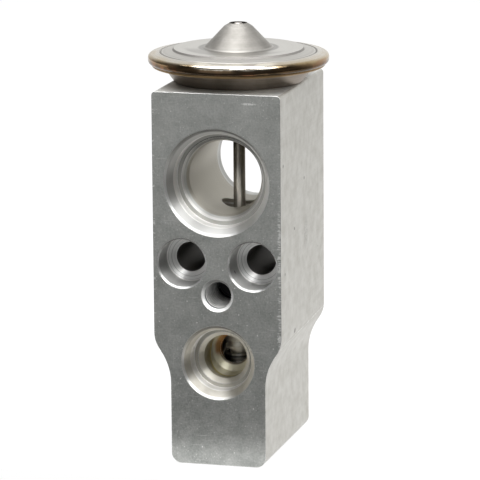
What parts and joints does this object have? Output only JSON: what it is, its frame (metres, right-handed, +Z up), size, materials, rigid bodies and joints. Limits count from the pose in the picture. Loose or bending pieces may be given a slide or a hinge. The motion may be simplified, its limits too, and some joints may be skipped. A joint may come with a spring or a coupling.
{
  "type": "block type thermostatic expansion valve",
  "caption": "Block type thermostatic expansion valve for a car air conditioner: extruded aluminium block with stepped ports, pressed power head, rod, ball valve, spring and adjusting screw.",
  "frame": {"origin": "middle of the foot's underside, on the common axis of the head, the rod and the adjusting screw", "axes": "+Z up along the rod to the head, -Y is the front face with the counterbored bolt holes and the engine side ports, +Y is the back face with the evaporator side ports, X across the width"},
  "size_m": [0.0442, 0.0442, 0.1059],
  "materials": {
    "block_aluminium": "extruded sides, machined faces",
    "head_steel": "pressed, with heat tint at the welded rim",
    "head_steel_low": "pressed, darkened by the weld",
    "plug_steel": "welded",
    "spring_steel": "bright",
    "rod_steel": "drawn",
    "ball_steel": "polished",
    "stop_brass": "turned",
    "screw_brass": "turned",
    "seal_rubber": "matt",
    "washer_plastic": "smooth"
  },
  "bodies": {
    "housing": {"valve_body": "block_aluminium", "upper_cover": "head_steel", "charge_plug": "plug_steel", "diaphragm": "spring_steel", "lower_cover": "head_steel_low", "head_seal": "seal_rubber", "rod_seal": "seal_rubber", "seal_washer": "washer_plastic", "seal_retainer": "spring_steel"},
    "valve_train": {"diaphragm_stop": "stop_brass", "operating_rod": "rod_steel", "valve_ball": "ball_steel", "ball_carrier": "rod_steel", "damper_spring": "spring_steel", "superheat_spring": "spring_steel"},
    "screw_carriage": {"screw_seal": "seal_rubber"},
    "screw_body": {"adjusting_screw": "screw_brass"}
  },
  "joints": [
    {"name": "valve_stroke", "type": "slide", "parent": "housing", "child": "valve_train", "axis": [0, 0, 1], "range_m": [-0.0006, 0], "stiffness_N_per_m": 2000, "deforming": ["superheat_spring"]},
    {"name": "screw_travel", "type": "slide", "parent": "housing", "child": "screw_carriage", "axis": [0, 0, 1], "range_m": [-0.001, 0.001]},
    {"name": "screw_turn", "type": "hinge", "parent": "screw_carriage", "child": "screw_body", "pos_m": [0, 0, 0.0014], "axis": [0, 0, 1], "range_deg": [-360, 360]}
  ],
  "couplings": [
    {"joint": "screw_turn", "follows": "screw_travel", "rad_per_m": 6283.2}
  ]
}
